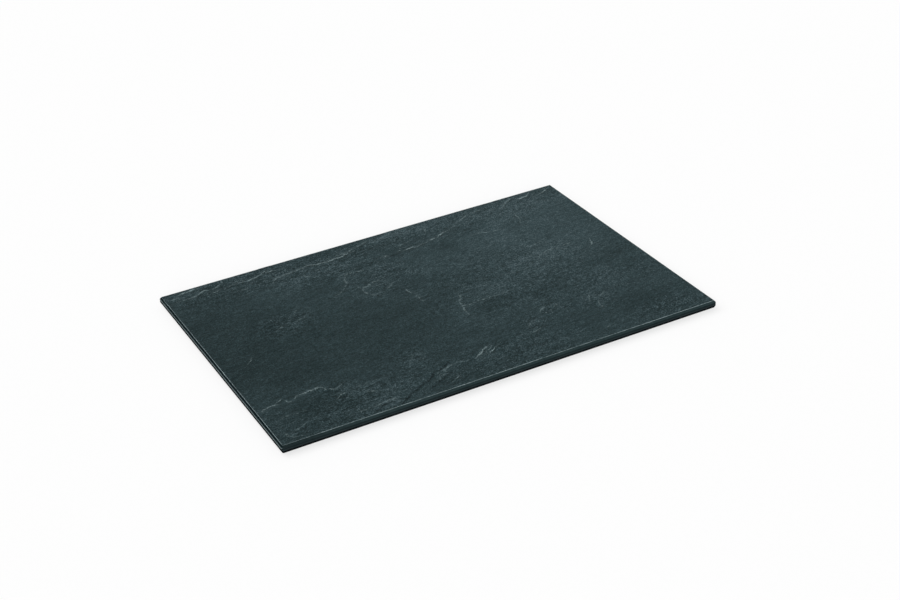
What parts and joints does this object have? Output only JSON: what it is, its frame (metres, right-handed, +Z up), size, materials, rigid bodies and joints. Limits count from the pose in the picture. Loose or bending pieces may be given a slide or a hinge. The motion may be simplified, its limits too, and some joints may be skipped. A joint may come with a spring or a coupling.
{
  "type": "slate serving board",
  "caption": "Flat rectangular serving board: a slab of dark slate with a riven top face and sawn, bevelled edges, on small moulded bumper feet held by adhesive discs.",
  "frame": {"origin": "on the table, under the middle of the board", "axes": "+X along the length, +Y along the width towards the back edge, +Z up"},
  "size_m": [0.3, 0.2, 0.0073],
  "materials": {
    "slate": "riven slate, satin, sawn edges",
    "foot_rubber": "moulded, matt",
    "adhesive": "double-sided tape, matt"
  },
  "bodies": {
    "root": {"slate_slab": "slate", "front_left_foot": "foot_rubber", "front_right_foot": "foot_rubber", "back_right_foot": "foot_rubber", "back_left_foot": "foot_rubber", "front_left_adhesive": "adhesive", "front_right_adhesive": "adhesive", "back_right_adhesive": "adhesive", "back_left_adhesive": "adhesive"}
  },
  "joints": []
}
